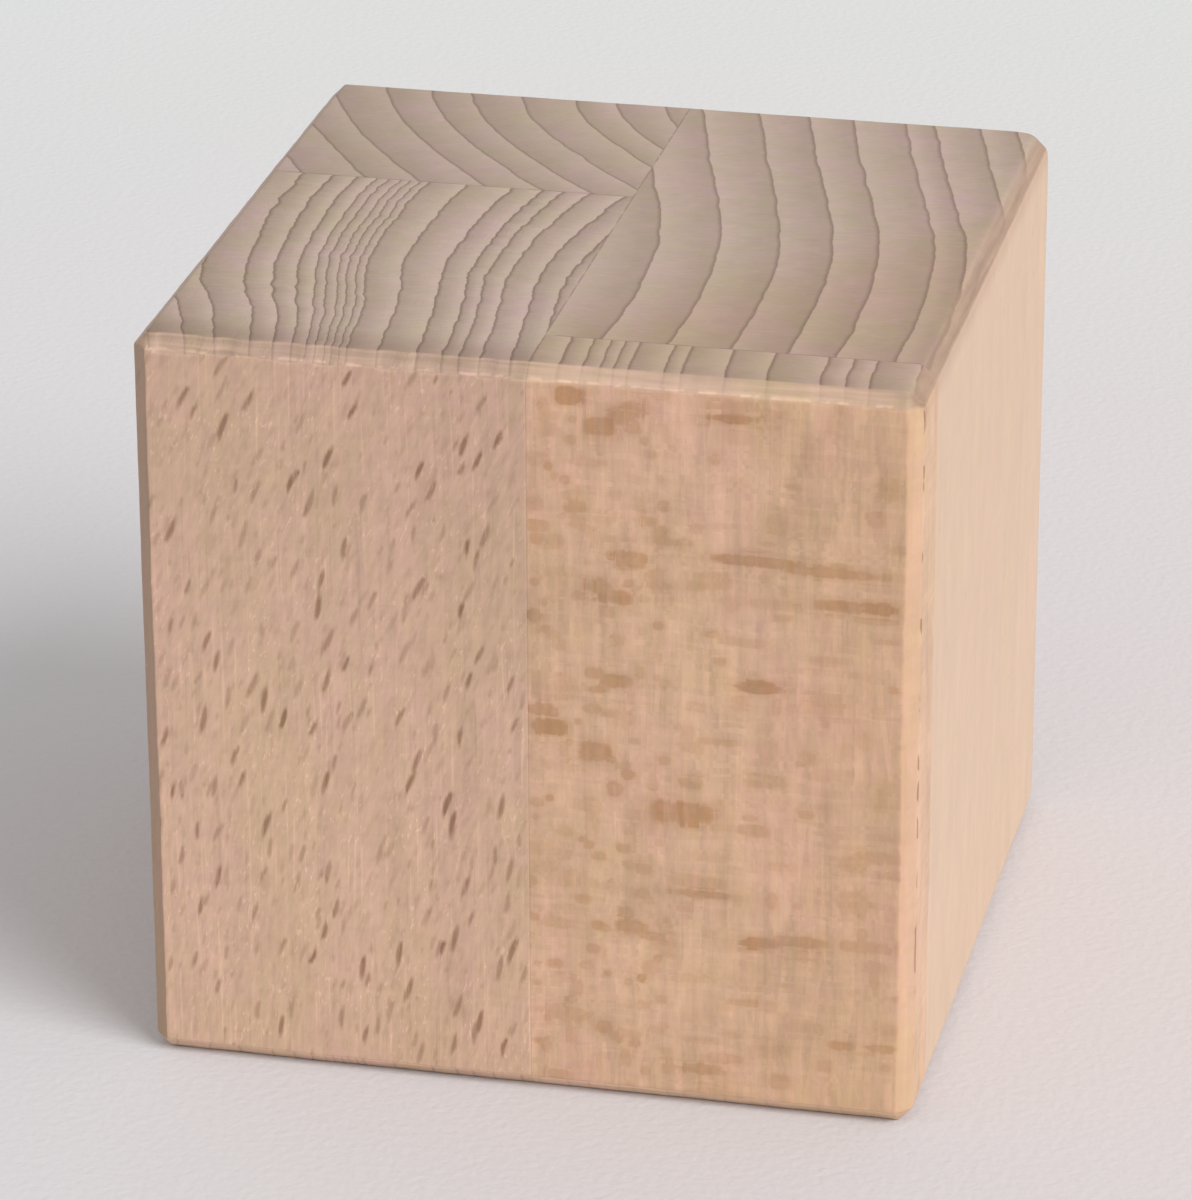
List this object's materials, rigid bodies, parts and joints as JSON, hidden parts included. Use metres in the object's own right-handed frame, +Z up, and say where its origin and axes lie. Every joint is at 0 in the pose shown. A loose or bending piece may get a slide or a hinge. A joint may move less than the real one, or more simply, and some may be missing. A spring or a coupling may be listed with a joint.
{
  "type": "wooden cube",
  "caption": "Solid beech cube glued up from upright staves, with end grain on top, chamfered edges and eased corner tips.",
  "frame": {"origin": "middle of the base, on the surface the cube stands on", "axes": "+Z up along the grain, front at -Y with the long upright joint running from front to back, +X to the right"},
  "size_m": [0.08, 0.08, 0.08],
  "materials": {
    "beech_front_left": "matte",
    "beech_back_left": "matte",
    "beech_front_right": "matte",
    "beech_back_right": "matte"
  },
  "bodies": {
    "root": {"stave_front_left": "beech_front_left", "stave_back_left": "beech_back_left", "stave_front_right": "beech_front_right", "stave_back_right": "beech_back_right"}
  },
  "joints": []
}
